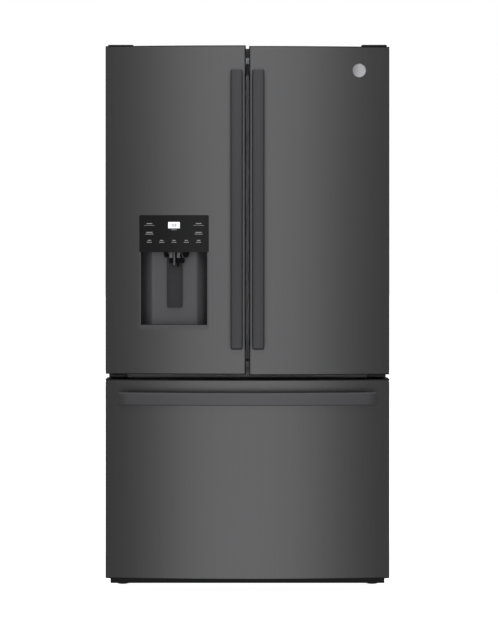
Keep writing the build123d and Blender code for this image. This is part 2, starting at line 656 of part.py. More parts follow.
web_x = (channel_x[0] - 16, channel_x[0] - 10)
basket_rear = 165.0
with BuildPart() as drawer_frame:
    for side in (-1, 1):
        web = sorted((side * web_x[0], side * web_x[1]))
        block(web, (door_back, slide_y[1] - 10), (slide_z[0] + 4, slide_z[1] - 4))
        tongue = sorted((side * web_x[1], side * (tongue_x - gap)))
        block(tongue, (slide_y[0], slide_y[1] - 10), (slide_z[0] + 12 + gap, slide_z[1] - 12 - gap))
        ledge = sorted((side * (web_x[0] - 20), side * web_x[0]))
        block(ledge, (door_back, slide_y[1] - 10), (slide_z[0] + 4, slide_z[0] + 7))
        foot = sorted((side * (web_x[0] - 42), side * (web_x[0] - 2.5)))
        block(foot, (door_back, door_back + 3), (slide_z[0] - 54, slide_z[1] + 44))
        post = sorted((side * (web_x[0] - 6), side * (web_x[0] - 2.5)))
        block(post, (door_back, door_back + 24), (slide_z[0] + 4, slide_z[1] + 44))
        bridge = sorted((side * (web_x[0] - 6), side * web_x[1]))
        block(bridge, (door_back, door_back + 24), (slide_z[0] + 7, slide_z[1] - 4))
    block((-web_x[0], web_x[0]), (basket_rear + 3, basket_rear + 15), (slide_z[0] + 7, slide_z[0] + 19))
save(drawer_frame.part, "drawer_frame")

basket_front = door_back + 28
lower_half = web_x[0] - 24
with BuildPart() as lower_basket:
    basket_z = (freezer_z[0] + 16, slide_z[0] + 10)
    tray((-lower_half, lower_half), (basket_front, basket_rear), basket_z, 3)
    rim = (slide_z[0] + 7, slide_z[0] + 10)
    for side in (-1, 1):
        rim_x = sorted((side * (lower_half - 3), side * (lower_half + 20)))
        block(rim_x, (basket_front, basket_rear), rim)
    with Locations((0, 0, 260)):
        with GridLocations(60, 0, 10, 1):
            Box(36, 2000, 150, mode=Mode.SUBTRACT)
save(lower_basket.part, "lower_basket")

upper_y = (basket_front, 80.0)
upper_half = web_x[0] - 10
with BuildPart() as upper_basket:
    tray((-upper_half, upper_half), upper_y, (slide_z[1] + 2, 560), 3)
    seat_z = (slide_z[1] - 4 + gap, slide_z[1] + 5)
    for side in (-1, 1):
        block(sorted((side * (upper_half - 3), side * (upper_half + 18))), upper_y, seat_z)
    with Locations((0, 0, 500)):
        with GridLocations(60, 0, 10, 1):
            Box(36, 2000, 60, mode=Mode.SUBTRACT)
save(upper_basket.part, "upper_basket")

# ---------------------------------------------------------------- fresh-food interior
tower_half = 120.0
tower_y = (376.0, room_rear)
with BuildPart() as air_tower:
    block((-tower_half, tower_half), tower_y, (780, fresh_z[1] - 20))
    with Locations((0, tower_y[0], 1240)):
        with GridLocations(150, 130, 2, 7):
            Box(50, 16, 8, mode=Mode.SUBTRACT)
save(air_tower.part, "air_tower")

shelf_front = -145.0
shelf_rear = 366.0
cover_z = (990.0, 1004.0)
pantry_z = (1108.0, 1122.0)
full = (6 - room_half, room_half - 6)
left_col = (full[0], -4.0)
right_col = (4.0, full[1])
shelf_list = (
    (full, cover_z),
    (full, pantry_z),
    (left_col, (1236.0, 1250.0)),
    (right_col, (1300.0, 1314.0)),
    (right_col, (1496.0, 1510.0)),
)
frame_w = 14.0
glass_t = 4.0
runner_z = (1092.0, 1108.0)
runner_x = room_half - 24
track_x = (-runner_x, -135.0, 135.0, runner_x)
with BuildPart() as shelf_frames:
    for x, z in shelf_list:
        block(x, (shelf_front, shelf_rear), z)
        hole = (x[0] + frame_w, x[1] - frame_w)
        block(hole, (shelf_front + frame_w, shelf_rear - frame_w), (z[0] - 1, z[1] + 1), mode=Mode.SUBTRACT)
        seat = (x[0] + frame_w - 5, x[1] - frame_w + 5)
        seat_y = (shelf_front + frame_w - 5, shelf_rear - frame_w + 5)
        block(seat, seat_y, (z[1] - glass_t, z[1] + 1), mode=Mode.SUBTRACT)
    # upright tracks on the rear wall, and arms that hook into them
    for x in track_x:
        block((x - 8, x + 8), (room_rear - 10, room_rear), (1000, fresh_z[1] - 43))
    for x, z in shelf_list[1:]:
        for track in track_x:
            if x[0] < track < x[1]:
                block((track - 4, track + 4), (shelf_rear, room_rear - 10), z)
    # the cover over the crispers rests on brackets at the side walls
    for side in (-1, 1):
        bracket_x = sorted((side * full[1], side * room_half))
        block(bracket_x, (shelf_front, shelf_rear), (cover_z[0], cover_z[0] + 8))
    # runners of the deli drawer
    for side in (-1, 1):
        block(sorted((side * runner_x, side * (runner_x + 6))), (shelf_front, shelf_rear - 20), runner_z)
        foot = sorted((side * (runner_x - 8), side * (runner_x + 6)))
        block(foot, (shelf_front, shelf_rear - 20), (runner_z[0], runner_z[0] + 3))
save(shelf_frames.part, "shelf_frames")

with BuildPart() as shelf_glass:
    for x, z in shelf_list:
        glass_x = (x[0] + frame_w - 5, x[1] - frame_w + 5)
        block(glass_x, (shelf_front + frame_w - 5, shelf_rear - frame_w + 5), (z[1] - glass_t, z[1]))
save(shelf_glass.part, "shelf_glass")

crisper_z = (fresh_z[0] + 10 + gap, 984.0)
crisper_y = (-140.0, 340.0)
crisper_outer = room_half - 10
for label, x in (("left_crisper", (-crisper_outer, -6.0)), ("right_crisper", (6.0, crisper_outer))):
    with BuildPart() as crisper:
        tray(x, crisper_y, crisper_z, 3)
        middle = sum(x) / 2
        grip_z = (crisper_z[1] - 40, crisper_z[1] - 28)
        block((middle - 70, middle + 70), (crisper_y[0] - 8, crisper_y[0] + 1), grip_z)
    save(crisper.part, label)

with BuildPart() as deli_drawer:
    deli_y = (-140.0, 330.0)
    tray((9 - runner_x, runner_x - 9), deli_y, (1010, runner_z[0] + 8), 3)
    for side in (-1, 1):
        rim_x = sorted((side * (runner_x - 11), side * (runner_x - 0.4)))
        block(rim_x, deli_y, (runner_z[0] + 3 + gap, runner_z[0] + 8))
    block((-90, 90), (deli_y[0] - 8, deli_y[0] + 1), (1070, 1082))
save(deli_drawer.part, "deli_drawer")

# ---------------------------------------------------------------- cooling parts
with BuildPart() as evaporator:
    for x in range(-250, 251, 20):
        block((x - 0.5, x + 0.5), (345, 395), (400, 520))
    for y in (357.0, 383.0):
        for z in (415.0, 445.0, 475.0, 505.0):
            rod((0, y, z), 4, 520, "X")
    for x in (-255.0, 255.0):
        block((x - 1, x + 1), (345, room_rear), (400, 520))
save(evaporator.part, "evaporator")

cover_y = (330.0, 333.0)
cold_fan_z = 588.0
cold_fan_r = 50.0
with BuildPart() as evaporator_cover:
    block((-room_half, room_half), cover_y, (step_z, freezer_z[1]))
    rod((0, sum(cover_y) / 2, cold_fan_z), cold_fan_r + 6, 10, "Y", mode=Mode.SUBTRACT)
    for turn in (0, 60, 120):
        with Locations(Location((0, sum(cover_y) / 2, cold_fan_z), (0, turn, 0))):
            Box(2 * cold_fan_r + 16, cover_y[1] - cover_y[0], 5)
    rod((0, sum(cover_y) / 2, cold_fan_z), 16, cover_y[1] - cover_y[0], "Y")
    rod((0, cover_y[1] + 14, cold_fan_z), 3, 28, "Y")
    for x in range(-300, 301, 60):
        block((x - 20, x + 20), (cover_y[0] - 1, cover_y[1] + 1), (384, 390), mode=Mode.SUBTRACT)
save(evaporator_cover.part, "evaporator_cover")

save(
    fan_wheel((0, cover_y[1] + 19, cold_fan_z), "Y", cold_fan_r, 13, 14, 3 + pin_clear), "evaporator_fan"
)

deck_top = deck_z + sheet_t
with BuildPart() as compressor:
    at = (-230.0, 360.0)
    rod((*at, 125), 72, 146)
    fillet(compressor.edges().filter_by(GeomType.CIRCLE), 26)
    block((at[0] - 95, at[0] + 95), (at[1] - 60, at[1] + 60), (deck_top + 14, deck_top + 17))
    for dx in (-80, 80):
        for dy in (-46, 46):
            rod((at[0] + dx, at[1] + dy, deck_top + 7), 11, 14)
    rod((at[0] + 60, at[1] - 20, 216), 4, 60)
    rod((at[0] + 60, at[1] + 20, 206), 4, 80)
save(compressor.part, "compressor")

with BuildPart() as condenser:
    for x in range(70, 291, 10):
        block((x - 0.5, x + 0.5), (300, 430), (70, 240))
    for y in (325.0, 365.0, 405.0):
        for z in (90.0, 125.0, 160.0, 195.0, 230.0):
            rod((180, y, z), 3, 236, "X")
    for x in (64.0, 296.0):
        block((x - 1, x + 1), (300, 430), (deck_top, 250))
save(condenser.part, "condenser")

hot_fan_r = 75.0
fan_x = 10.0
with BuildPart() as fan_shroud:
    block((fan_x - 2, fan_x + 2), (260, 455), (deck_top, 250))
    rod((fan_x, fan_y, fan_z), hot_fan_r + 5, 10, "X", mode=Mode.SUBTRACT)
    for turn in (0, 60, 120):
        with Locations(Location((fan_x, fan_y, fan_z), (turn, 0, 0))):
            Box(4, 2 * hot_fan_r + 14, 8)
    rod((fan_x, fan_y, fan_z), 18, 4, "X")
    rod((fan_x + 18, fan_y, fan_z), 3, 36, "X")
save(fan_shroud.part, "fan_shroud")

save(fan_wheel((fan_x + 22, fan_y, fan_z), "X", hot_fan_r, 15, 18, 3 + pin_clear), "condenser_fan")

valve_at = (case_half - 120, 95.0)
gland_at = (60 - case_half, 100.0)
with BuildPart() as rear_cover:
    block(
        (-inner_half + sheet_t + gap, inner_half - sheet_t - gap),
        (case_rear - sheet_t, case_rear),
        (deck_top + 1, machine_z),
    )
    with Locations((0, case_rear - 1, 200)):
        with GridLocations(70, 14, 10, 12):
            Box(52, 10, 5, mode=Mode.SUBTRACT)
    notch_x = (valve_at[0] - 34, valve_at[0] + 34)
    block(notch_x, (case_rear - 5, case_rear + 1), (deck_top, 130), mode=Mode.SUBTRACT)
    rod((gland_at[0], case_rear - 1, gland_at[1]), 9, 10, "Y", mode=Mode.SUBTRACT)
save(rear_cover.part, "rear_cover")

with BuildPart() as service_fittings:
    # mains gland, with the cord's way through it
    rod((gland_at[0], case_rear - 6, gland_at[1]), 9, 12, "Y")
    rod((gland_at[0], case_rear - 7, gland_at[1]), 12, 10, "Y")
    rod((gland_at[0], case_rear - 6, gland_at[1]), 4.5, 14, "Y", mode=Mode.SUBTRACT)
    # water inlet valve on its bracket, with the tube stub
    block((valve_at[0] - 28, valve_at[0] + 28), (400, 404), (deck_top, 125))
    block((valve_at[0] - 20, valve_at[0] + 20), (404, 434), (75, 115))
    rod((valve_at[0], 440, valve_at[1]), 9, 12, "Y")
    rod((valve_at[0], 453, valve_at[1]), 3.175, 20, "Y")
save(service_fittings.part, "service_fittings")
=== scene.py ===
import bpy
import math
import numpy as np
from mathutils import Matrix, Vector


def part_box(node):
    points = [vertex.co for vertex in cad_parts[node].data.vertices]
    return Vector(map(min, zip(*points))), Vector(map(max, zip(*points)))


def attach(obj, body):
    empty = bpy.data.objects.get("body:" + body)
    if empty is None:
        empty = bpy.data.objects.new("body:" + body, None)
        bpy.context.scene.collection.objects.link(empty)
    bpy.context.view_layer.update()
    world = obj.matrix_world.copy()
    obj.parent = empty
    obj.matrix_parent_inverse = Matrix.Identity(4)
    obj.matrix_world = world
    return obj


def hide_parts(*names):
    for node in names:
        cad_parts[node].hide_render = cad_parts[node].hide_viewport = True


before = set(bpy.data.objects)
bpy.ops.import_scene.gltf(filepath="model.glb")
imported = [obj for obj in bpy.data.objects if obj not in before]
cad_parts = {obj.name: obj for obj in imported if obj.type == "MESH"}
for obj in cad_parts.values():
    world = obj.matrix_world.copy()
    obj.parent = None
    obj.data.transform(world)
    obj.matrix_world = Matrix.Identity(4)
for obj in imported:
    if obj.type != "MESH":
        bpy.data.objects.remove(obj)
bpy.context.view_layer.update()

# ------------------------------------------------------------------ door and drawer fronts
# Three sheets of black stainless steel, 1 mm thick, brushed up and down, tinted dark and sealed. Each
# is bent to one shallow arc, has its sides folded back round a 5 mm radius, and is foamed in place.


def tone(code):
    """Linear colour of an sRGB hex value: the sRGB curve undone on each channel."""
    part = np.array([int(code[i : i + 2], 16) for i in (1, 3, 5)]) / 255
    linear = np.where(part <= 0.04045, part / 12.92, ((part + 0.055) / 1.055) ** 2.4)
    return (*linear.tolist(), 1.0)


def put(tree, kind, sockets=(), **settings):
    """Adds one node: settings are its own choices, sockets are (input, value or another's output)."""
    made = tree.nodes.new(kind)
    for name, value in settings.items():
        setattr(made, name, value)
    for name, value in dict(sockets).items():
        if isinstance(value, bpy.types.NodeSocket):
            tree.links.new(value, made.inputs[name])
        else:
            made.inputs[name].default_value = value
    return made


def finish_of(name, dark, light, rough, spread, grain, lift, metal=0.0, **more):
    """Noise as wide as grain (millimetres along X, Y, Z) runs the colour from dark to light and the
    roughness from rough - spread to rough + spread, and lifts the surface by lift millimetres."""
    made = bpy.data.materials.new(name)
    made.use_nodes = True
    tree = made.node_tree
    tree.nodes.clear()
    place = put(tree, "ShaderNodeTexCoord").outputs["Object"]
    per_metre = [1000 / g for g in grain]
    scaled = put(tree, "ShaderNodeMapping", {"Vector": place, "Scale": per_metre}).outputs[0]
    noise = put(tree, "ShaderNodeTexNoise", {"Vector": scaled, "Scale": 1.0, "Detail": 3.0}).outputs[0]
    colour = put(
        tree, "ShaderNodeMix", {0: noise, 6: tone(dark), 7: tone(light)}, data_type="RGBA"
    ).outputs[2]
    roughness = put(
        tree, "ShaderNodeMapRange", {"Value": noise, "To Min": rough - spread, "To Max": rough + spread}
    ).outputs[0]
    bump = put(
        tree, "ShaderNodeBump", {"Height": noise, "Strength": 1.0, "Distance": lift / 1000}
    ).outputs[0]
    skin = put(
        tree,
        "ShaderNodeBsdfPrincipled",
        {"Base Color": colour, "Roughness": roughness, "Normal": bump, "Metallic": metal},
    )
    for socket, value in more.items():
        skin.inputs[socket.replace("_", " ")].default_value = value
    put(tree, "ShaderNodeOutputMaterial", {"Surface": skin.outputs[0]})
    return made


# Brushed and tinted: the eye gets one wide, soft glow down the middle that fades to both edges. The
# brush lines are a few tenths of a millimetre wide, drawn 2 mm wide so that they show at all.
door_steel = finish_of(
    "black_stainless_brushed", "#525253", "#585859", 0.31, 0.02, (2.0, 2.0, 260.0), 0.002, metal=1.0
)

face_low, face_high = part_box("drawer_skin")
face_front = face_low.y
face_back = face_high.y
bulge = 0.026  # the middle of a front stands this far before its edges
edge_r = 0.005
sheet_t = 0.001
arc_r = (face_high.x**2 + bulge**2) / (2 * bulge)


def front_y(x, inset=0.0):
    """Y of the fronts' arc at x, moved back by inset: a circle through both edges and the middle."""
    return face_front + arc_r - np.sqrt((arc_r - inset) ** 2 - np.asarray(x, float) ** 2)


def add_mesh(name, points, faces, material, body, smooth_under=40.0):
    """A mesh object in place at the origin, shaded smooth but for edges sharper than smooth_under
    degrees and for open rims, which belong to one face only."""
    mesh = bpy.data.meshes.new(name)
    mesh.from_pydata(np.asarray(points, float).reshape(-1, 3).tolist(), [], faces)
    mesh.shade_smooth()
    mesh.set_sharp_from_angle(angle=math.radians(smooth_under))
    edge_of_corner = np.zeros(len(mesh.loops), np.int32)
    mesh.loops.foreach_get("edge_index", edge_of_corner)
    rim = np.bincount(edge_of_corner, minlength=len(mesh.edges)) == 1
    sharp = np.zeros(len(mesh.edges), bool)
    mesh.edges.foreach_get("use_edge_sharp", sharp)
    mesh.edges.foreach_set("use_edge_sharp", sharp | rim)
    mesh.materials.append(material)
    made = bpy.data.objects.new(name, mesh)
    bpy.context.scene.collection.objects.link(made)
    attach(made, body)
    return made


def grid_faces(rows, columns):
    """Quads of a grid of rows by columns, all turned the same way."""
    corner = np.arange((rows - 1) * columns).reshape(rows - 1, columns)[:, :-1].ravel()
    return np.stack([corner, corner + 1, corner + columns + 1, corner + columns], 1)


def front_plan(x0, x1):
    """Plan of a bent front from its left rear edge to its right rear edge, as (x, y) rows: a straight
    return, a quarter round, the arc, a quarter round and the other return."""
    turn = np.linspace(0, math.pi / 2, 9)
    y_left = float(front_y(x0 + edge_r)) + edge_r
    y_right = float(front_y(x1 - edge_r)) + edge_r
    side_left = np.stack([np.full(4, x0), np.linspace(face_back, y_left, 5)[:-1]], 1)
    side_right = np.stack([np.full(4, x1), np.linspace(y_right, face_back, 5)[1:]], 1)
    round_left = np.stack([x0 + edge_r * (1 - np.cos(turn)), y_left - edge_r * np.sin(turn)], 1)
    round_right = np.stack([x1 - edge_r * (1 - np.sin(turn)), y_right - edge_r * np.cos(turn)], 1)
    across = np.linspace(x0 + edge_r, x1 - edge_r, 90)[1:-1]
    arc = np.stack([across, front_y(across)], 1)
    return np.concatenate([side_left, round_left, arc, round_right, side_right])


end_reach = 0.03  # rows this near to the top or bottom give way to the rounded corners


def front_heights(z0, z1):
    """Heights of a front's rows, close together at both ends, where the sheet's edge is."""
    near = np.array([0, 0.0004, 0.0015, 0.006])
    between = np.linspace(z0 + end_reach, z1 - end_reach, 24)
    return np.concatenate([z0 + near, between, z1 - near[::-1]])


def bent_front(name, node, body, cuts, hole=None):
    """A sheet carried up the plan of a front. Near each end its rows bend away from the corners by
    r - sqrt(r^2 - s^2), where s is how far a point lies inside the radius r from the side. The radii
    in cuts are low left, low right, high left, high right. Cells inside hole (x0, x1, z0, z1) are
    left out."""
    low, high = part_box(node)
    plan = front_plan(low.x, high.x)
    levels = front_heights(low.z, high.z)
    if hole:
        on_side = plan[:, 1] > face_front + 0.05
        for x in hole[:2]:
            plan[np.argmin(np.abs(plan[:, 0] - x) + on_side)] = x, float(front_y(x))
        levels = np.unique(np.concatenate([levels, hole[2:]]))
    reaches = (plan[:, 0] - low.x, high.x - plan[:, 0])
    lift = []
    for radius, reach in zip(cuts, reaches * 2):
        inside = np.clip(radius - reach, 0, radius)
        lift.append(radius - np.sqrt(radius**2 - inside**2))
    share_low = np.clip((low.z + end_reach - levels) / end_reach, 0, 1)[:, None]
    share_high = np.clip((levels - high.z + end_reach) / end_reach, 0, 1)[:, None]
    z = levels[:, None] + share_low * (lift[0] + lift[1]) - share_high * (lift[2] + lift[3])
    x, y = (np.broadcast_to(plan[:, k], z.shape) for k in (0, 1))
    points = np.stack([x, y, z], 2).reshape(-1, 3)
    faces = grid_faces(len(levels), len(plan))
    if hole:
        middle = points[faces].mean(1)
        within = (middle[:, 0] > hole[0]) & (middle[:, 0] < hole[1])
        within &= (middle[:, 2] > hole[2]) & (middle[:, 2] < hole[3])
        faces = faces[~within]
    made = add_mesh(name, points, faces.tolist(), door_steel, body)
    wall = made.modifiers.new("sheet", "SOLIDIFY")
    wall.thickness = sheet_t
    wall.offset = -1
    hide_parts(node)


housing_low, housing_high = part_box("dispenser_housing")
opening = (housing_low.x, housing_high.x, housing_low.z, housing_high.z)
square, small, wide = 0.001, 0.004, 0.009  # the corner radii of the fronts
bent_front("left_door_face", "left_door_skin", "left_door", (wide, square, small, square), opening)
bent_front("right_door_face", "right_door_skin", "right_door", (square, wide, square, small))
bent_front("drawer_face", "drawer_skin", "freezer_drawer", (0.003, 0.003, wide, wide))

# ------------------------------------------------------------------ handles
# Three flat bars of the same dark steel, 16 mm thick, extruded with softened edges and closed at both
# ends. Each is screwed on from inside through two short posts.

# A finer brush than the fronts' gives a tighter glow. The darker tint is painted shade: the bars are the
# fronts' steel, darkened to stand in for the dimmer reflection of their flat faces.
shaded_handle_steel = finish_of(
    "black_stainless_fine_painted_shade", "#3c3c3e", "#414143", 0.33, 0.02, (1.5, 1.5, 200.0), 0.001, metal=1.0
)
# The drawer's bar is brushed along its length, so it spreads light up and down. It also looks paler than
# the door bars because its tint carries none of their painted shade.
bar_steel = finish_of(
    "black_stainless_along", "#555557", "#5a5a5c", 0.42, 0.02, (200.0, 1.5, 1.5), 0.002, metal=1.0
)


def outline(centre, half, corner, steps=6):
    """A rounded rectangle as (u, v) rows, counter-clockwise: four quarter rounds joined by straights."""
    turn = np.linspace(0, math.pi / 2, steps)
    corner = min(corner, half[0], half[1])
    rows = []
    for quarter, (su, sv) in enumerate(((1, 1), (-1, 1), (-1, -1), (1, -1))):
        angle = turn + quarter * math.pi / 2
        u = centre[0] + su * (half[0] - corner) + corner * np.cos(angle)
        v = centre[1] + sv * (half[1] - corner) + corner * np.sin(angle)
        rows.append(np.stack([u, v], 1))
    return np.concatenate(rows)


def stand(flat, level, axis):
    """A flat outline set at a level along z, along x, or towards the front of the refrigerator."""
    u, v = flat[:, 0], flat[:, 1]
    w = np.full(len(flat), level)
    return np.stack({"z": (u, v, w), "x": (w, u, v), "front": (u, -w, v)}[axis], 1)


def loft(rings, closed=False):
    """Points and faces of a skin over outlines of equal length, in order: each quad joins two
    neighbours on one outline to the same two on the next. The last outline joins the first when
    closed, and otherwise each end gets one face."""
    rings = np.asarray(rings)
    count, size = rings.shape[:2]
    number = np.arange(count * size).reshape(count, size)
    here = number if closed else number[:-1]
    there = np.roll(number, -1, axis=0) if closed else number[1:]
    quads = np.stack([here, np.roll(here, -1, 1), np.roll(there, -1, 1), there], 2).reshape(-1, 4)
    ends = [] if closed else [number[0, ::-1], number[-1]]
    return rings.reshape(-1, 3), [face.tolist() for face in (*quads, *ends)]


def joined(parts):
    """Points and faces of several lofts as one mesh: each loft's numbers go on from the last one's."""
    points, faces, start = [], [], 0
    for some_points, some_faces in parts:
        points.append(some_points)
        faces += [[start + corner for corner in face] for face in some_faces]
        start += len(some_points)
    return np.concatenate(points), faces


def block(centre, half, levels, axis, corner=0.002, edge=0.0012, steps=6):
    """A bar between two levels, its outline rounded by corner. Near both ends the outline shrinks by
    edge * (1 - sin) at a depth of edge * (1 - cos), which is a quarter round of radius edge."""
    turn = np.linspace(0, math.pi / 2, 4)
    depth, shrink = edge * (1 - np.cos(turn)), edge * (1 - np.sin(turn))
    along = [*zip(levels[0] + depth, shrink), *zip(levels[1] - depth[::-1], shrink[::-1])]
    rings = []
    for level, less in along:
        flat = outline(centre, (half[0] - less, half[1] - less), max(corner - less, 0.0002), steps)
        rings.append(stand(flat, level, axis))
    return loft(rings)


bar_t = 0.016
bar_corner = 0.003
bar_end = 0.006
post_in = 0.017  # from a bar's end to the middle of its post
post_sink = 0.012  # how far behind the bar's face a post ends, inside the bar
post_corner = 0.004
post_less = 0.003  # a post is this much narrower than the bar on each side

for side in ("left", "right"):
    low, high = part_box(f"{side}_door_handle")
    centre_x, half_w = (low.x + high.x) / 2, (high.x - low.x) / 2
    middle = (centre_x, low.y + bar_t / 2)
    parts = [block(middle, (half_w, bar_t / 2), (low.z, high.z), "z", bar_corner, bar_end)]
    for z in (low.z + post_in, high.z - post_in):
        depth = (-high.y + 0.0002, -low.y - post_sink)
        parts.append(block((centre_x, z), (half_w - post_less, 0.013), depth, "front", post_corner))
    points, faces = joined(parts)
    made = add_mesh(f"{side}_handle_bar", points, faces, shaded_handle_steel, f"{side}_door")
    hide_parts(f"{side}_door_handle")

# the drawer's bar follows the arc of the front at a fixed distance, with a quarter round at each end
low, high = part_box("drawer_handle")
bar_length = 0.822
middle_z, half_h = (low.z + high.z) / 2, (high.z - low.z) / 2
stand_off = face_front - low.y
at_end = np.array([0, 0.0006, 0.0018, 0.0036, bar_end])
between = np.linspace(end_reach, bar_length - end_reach, 60)
across = np.concatenate([at_end, between, bar_length - at_end[::-1]])
rings = []
for x in across + low.x:
    inside = bar_end - min(x - low.x, high.x - x, bar_end)
    less = bar_end - math.sqrt(max(bar_end**2 - inside**2, 0))
    middle = (float(front_y(x, -stand_off)) + bar_t / 2, middle_z)
    flat = outline(middle, (bar_t / 2 - less, half_h - less), bar_corner - less / 2.5)
    rings.append(stand(flat, x, "x"))
parts = [loft(rings)]
for x in (low.x + post_in, high.x - post_in):
    depth = (-float(front_y(x)) - 0.0005, -float(front_y(x, -stand_off)) - post_sink)
    parts.append(block((x, middle_z), (0.014, half_h - post_less), depth, "front", post_corner))
points, faces = joined(parts)
made = add_mesh("drawer_handle_bar", points, faces, bar_steel, "freezer_drawer")
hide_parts("drawer_handle")

# ------------------------------------------------------------------ end caps, kick plate and covers
# Black ABS, injection moulded. The caps close the fronts above and below, the kick plate clips to the
# base, and the covers snap over the top hinges.


def dress(nodes, material):
    """Gives CAD nodes their material."""
    for name in nodes:
        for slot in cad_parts[name].material_slots:
            slot.material = material


# A fine spark texture of about 1 mm: the eye gets a black that stays black, with no clear glint.
black_abs = finish_of(
    "black_abs_textured", "#0b0b0c", "#111112", 0.5, 0.06, (1.2, 1.2, 1.2), 0.02,
    Specular_IOR_Level=0.2,
)
dress(["left_door_caps", "right_door_caps", "drawer_caps", "base_grille"], black_abs)
dress(["levelling_legs", "hinge_covers", "fan_shroud", "condenser_fan"], black_abs)
dress(["rear_left_roller", "rear_right_roller"], black_abs)

# ------------------------------------------------------------------ round badge
# A plain turned disc of aluminium: a raised rim round a shallow dish, with no mark on it, pressed into
# the top corner of the right door.

# Turned and left bare: the eye gets a bright silver spot with a soft gloss.
badge_metal = finish_of(
    "turned_aluminium", "#88888a", "#9c9c9e", 0.3, 0.05, (0.8, 40.0, 0.8), 0.004, metal=1.0
)
badge_low, badge_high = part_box("round_badge")
badge_x, badge_z = (badge_low.x + badge_high.x) / 2, (badge_low.z + badge_high.z) / 2
badge_r = (badge_high.x - badge_low.x) / 2
badge_seat = front_y(badge_x) - 0.0012
# from the seat over the rim to the middle, as (share of the radius, metres before the seat)
profile = [(1.0, 0.0), (1.0, 0.0024), (0.975, 0.0031), (0.93, 0.0033), (0.885, 0.0031), (0.865, 0.0022)]
profile += [(0.6, 0.0018), (0.3, 0.0016), (0.02, 0.0015)]
turn = np.linspace(0, 2 * math.pi, 73)[:-1]
rings = []
for share, out in profile:
    x = badge_x + share * badge_r * np.cos(turn)
    z = badge_z + share * badge_r * np.sin(turn)
    y = np.full(len(x), badge_seat - out) if out else front_y(x) - 0.0001
    rings.append(np.stack([x, y, z], 1))
points, faces = loft(rings)
made = add_mesh("badge_disc", points, faces, badge_metal, "right_door")
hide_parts("round_badge")

# ------------------------------------------------------------------ dispenser recess, paddle and outlet
# A moulded well behind the left door's opening, with a paddle that the glass pushes. Above the paddle
# hang the ice outlet's black rubber lips, two grey ribs and the thin water tube.

# ABS painted to match the steel: the eye gets metal flakes, and a wall that darkens into its corners.
recess_paint = finish_of(
    "metallic_grey_abs", "#4d4d4f", "#545456", 0.38, 0.04, (0.6, 0.6, 0.6), 0.006, metal=0.75
)
dress(["dispenser_housing"], recess_paint)
# satin moulded ABS: dark and even, darker than the well behind it
paddle_abs = finish_of(
    "grey_abs_satin", "#232325", "#29292b", 0.45, 0.05, (1.0, 1.0, 1.0), 0.01, Specular_IOR_Level=0.25
)
# moulded nylon: a mid grey with a dull sheen
light_nylon = finish_of("grey_nylon", "#454648", "#4e4f51", 0.4, 0.05, (1.5, 1.5, 1.5), 0.01)
dress(["ice_chute"], light_nylon)
# soft moulded rubber: it gives back almost no light
soot_black = finish_of(
    "black_rubber", "#050505", "#080808", 0.7, 0.05, (1.0, 1.0, 1.0), 0.01, Specular_IOR_Level=0.1
)

paddle_low, paddle_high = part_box("dispenser_paddle")
paddle_x = (paddle_low.x + paddle_high.x) / 2
pivot = (-0.352, 1.077)  # y and z of the paddle's pin
blade_half = 0.024
blade_y = (-0.350, -0.3552)  # its back and its front
hub_r, pin_r = 0.0044, 0.0025
blade = block(
    (paddle_x, (paddle_low.z + pivot[1]) / 2), (blade_half, (pivot[1] - paddle_low.z) / 2),
    (-blade_y[0], -blade_y[1]), "front", 0.003, 0.0014,
)
hub = block(pivot, (hub_r, hub_r), (paddle_x - blade_half, paddle_x + blade_half), "x", hub_r)
pin = block(pivot, (pin_r, pin_r), (paddle_low.x, paddle_high.x), "x", pin_r, 0.0005)
# a thin raised frame round a shallow field, where the glass touches
field_at, field_half, frame_w = (paddle_x, 0.965), (0.017, 0.036), 0.0016
field = []
for inset, level in ((0, 0.3550), (0, 0.3560), (frame_w, 0.3562), (frame_w, 0.3556)):
    flat = outline(field_at, (field_half[0] - inset, field_half[1] - inset), 0.007)
    field.append(stand(flat, level, "front"))
points, faces = joined([blade, hub, pin, loft(field)])
made = add_mesh("paddle_blade", points, faces, paddle_abs, "dispenser_paddle")
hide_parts("dispenser_paddle")

panel_low, panel_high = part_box("control_panel")
roof = panel_low.z - 0.0002  # the outlet's pieces hang from just under the panel
lips_y, lips_half_depth = -0.376, 0.012
lip_steps = ((0.45, 1.0750), (0.6, 1.0752), (1.0, roof - 0.002), (1.0, roof))  # share of width, height
parts = []
for x, half_w in ((paddle_x - 0.0265, 0.0065), (paddle_x + 0.037, 0.011)):
    rings = []
    for share, z in lip_steps:
        flat = outline((x, lips_y), (half_w * share, lips_half_depth * share), 0.002)
        rings.append(stand(flat, z, "z"))
    parts.append(loft(rings))
# the cross bar, the peg under it and the stem that holds both
bar_x, peg_x, peg_r = paddle_x + 0.0085, paddle_x + 0.0125, 0.0032
parts.append(block((bar_x, 1.0655), (0.024, 0.008), (0.364, 0.386), "front", 0.003))
parts.append(block((peg_x, -0.378), (peg_r, peg_r), (1.0455, 1.060), "z", peg_r))
parts.append(block((bar_x, -0.372), (0.012, 0.006), (1.072, roof), "z", 0.002))
points, faces = joined(parts)
add_mesh("outlet_lips", points, faces, soot_black, "left_door")

rib_half, tube_r = (0.0055, 0.003), 0.003
parts = []
for x in (paddle_x - 0.010, paddle_x + 0.0137):
    parts.append(block((x, -0.383), rib_half, (1.0735, roof), "z", 0.0015))
parts.append(block((paddle_x + 0.0005, -0.3905), (tube_r, tube_r), (1.051, roof), "z", tube_r, 0.0006))
points, faces = joined(parts)
add_mesh("water_tube", points, faces, light_nylon, "left_door")

# ------------------------------------------------------------------ control panel
# A gloss black polycarbonate window on the door's arc, 1.5 mm proud. Behind it the touch keys show as
# small grey bars, and the display as a lit field. The keys carry no lettering and don't travel.

